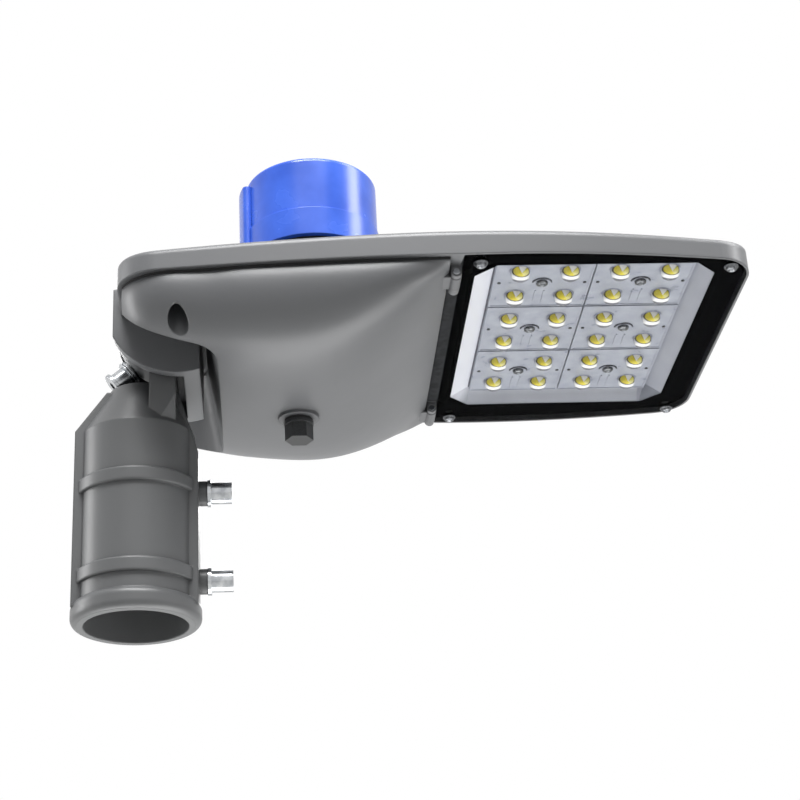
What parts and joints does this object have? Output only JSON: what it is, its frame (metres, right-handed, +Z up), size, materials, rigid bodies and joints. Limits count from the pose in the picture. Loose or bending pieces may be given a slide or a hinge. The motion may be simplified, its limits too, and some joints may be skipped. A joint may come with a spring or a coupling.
{
  "type": "street light head",
  "caption": "LED street-light head with a pole spigot, tilting knuckle, glass-covered lens field, hinged gear cover and a blue twist-lock photocell",
  "frame": {"origin": "centre of the mouth of the spigot's bore", "axes": "+Z up the pole, +X from the spigot to the head's tip, +Y across the head"},
  "size_m": [0.401, 0.2336, 0.292],
  "materials": {
    "grey_painted_casting": "satin grey powder coat on die-cast aluminium",
    "zinc_plated_steel": "bright plated steel",
    "black_rubber": "matt",
    "tempered_glass": "clear, polished",
    "black_ceramic_print": "gloss black seen through the glass",
    "white_board": "white solder mask",
    "yellow_phosphor": "yellow LED phosphor",
    "clear_lens_plastic": "clear moulded acrylic, lavender tint",
    "white_plastic": "matt white",
    "black_plastic": "matt black",
    "blue_plastic": "glossy blue moulding",
    "brass": "plain"
  },
  "bodies": {
    "spigot": {"spigot_casting": "grey_painted_casting", "set_bolts": "zinc_plated_steel"},
    "head": {"housing_casting": "grey_painted_casting", "tilt_bolt": "zinc_plated_steel", "tilt_washers": "zinc_plated_steel", "cover_gasket": "black_rubber", "hinge_pins": "zinc_plated_steel", "glass_pane": "tempered_glass", "glass_frit_border": "black_ceramic_print", "glass_gasket": "black_rubber", "glass_screws": "zinc_plated_steel", "led_board": "white_board", "led_chips": "yellow_phosphor", "lens_module_1": "clear_lens_plastic", "lens_module_2": "clear_lens_plastic", "lens_module_3": "clear_lens_plastic", "lens_module_4": "clear_lens_plastic", "lens_module_5": "clear_lens_plastic", "lens_module_6": "clear_lens_plastic", "lens_screws": "zinc_plated_steel", "reflector_frame": "white_plastic", "driver": "white_plastic", "driver_screws": "zinc_plated_steel", "terminal_block": "white_plastic", "terminal_screws": "zinc_plated_steel", "surge_protector": "black_plastic", "surge_screws": "zinc_plated_steel", "cable_clamp": "black_plastic", "clamp_screws": "zinc_plated_steel", "photocell_socket": "black_plastic", "socket_gasket": "black_rubber", "socket_screws": "zinc_plated_steel"},
    "cover": {"gear_cover": "grey_painted_casting", "cover_screws": "zinc_plated_steel", "vent_plug": "black_plastic", "vent_plug_seal": "black_rubber", "vent_plug_nut": "black_plastic"},
    "photocell": {"photocell_cap": "blue_plastic", "photocell_window": "blue_plastic", "photocell_base": "black_plastic", "photocell_contacts": "brass", "photocell_gasket": "black_rubber"}
  },
  "joints": [
    {"name": "head_tilt", "type": "hinge", "parent": "spigot", "child": "head", "pos_m": [0.025, 0, 0.188], "axis": [0, -1, 0], "range_deg": [-5, 15]},
    {"name": "cover_hinge", "type": "hinge", "parent": "head", "child": "cover", "pos_m": [0.1875, 0, 0.1734], "axis": [0, -1, 0], "range_deg": [0, 80]},
    {"name": "photocell_twist", "type": "hinge", "parent": "head", "child": "photocell", "pos_m": [0.109, 0, 0.236], "axis": [0, 0, 1], "range_deg": [0, 35]}
  ]
}
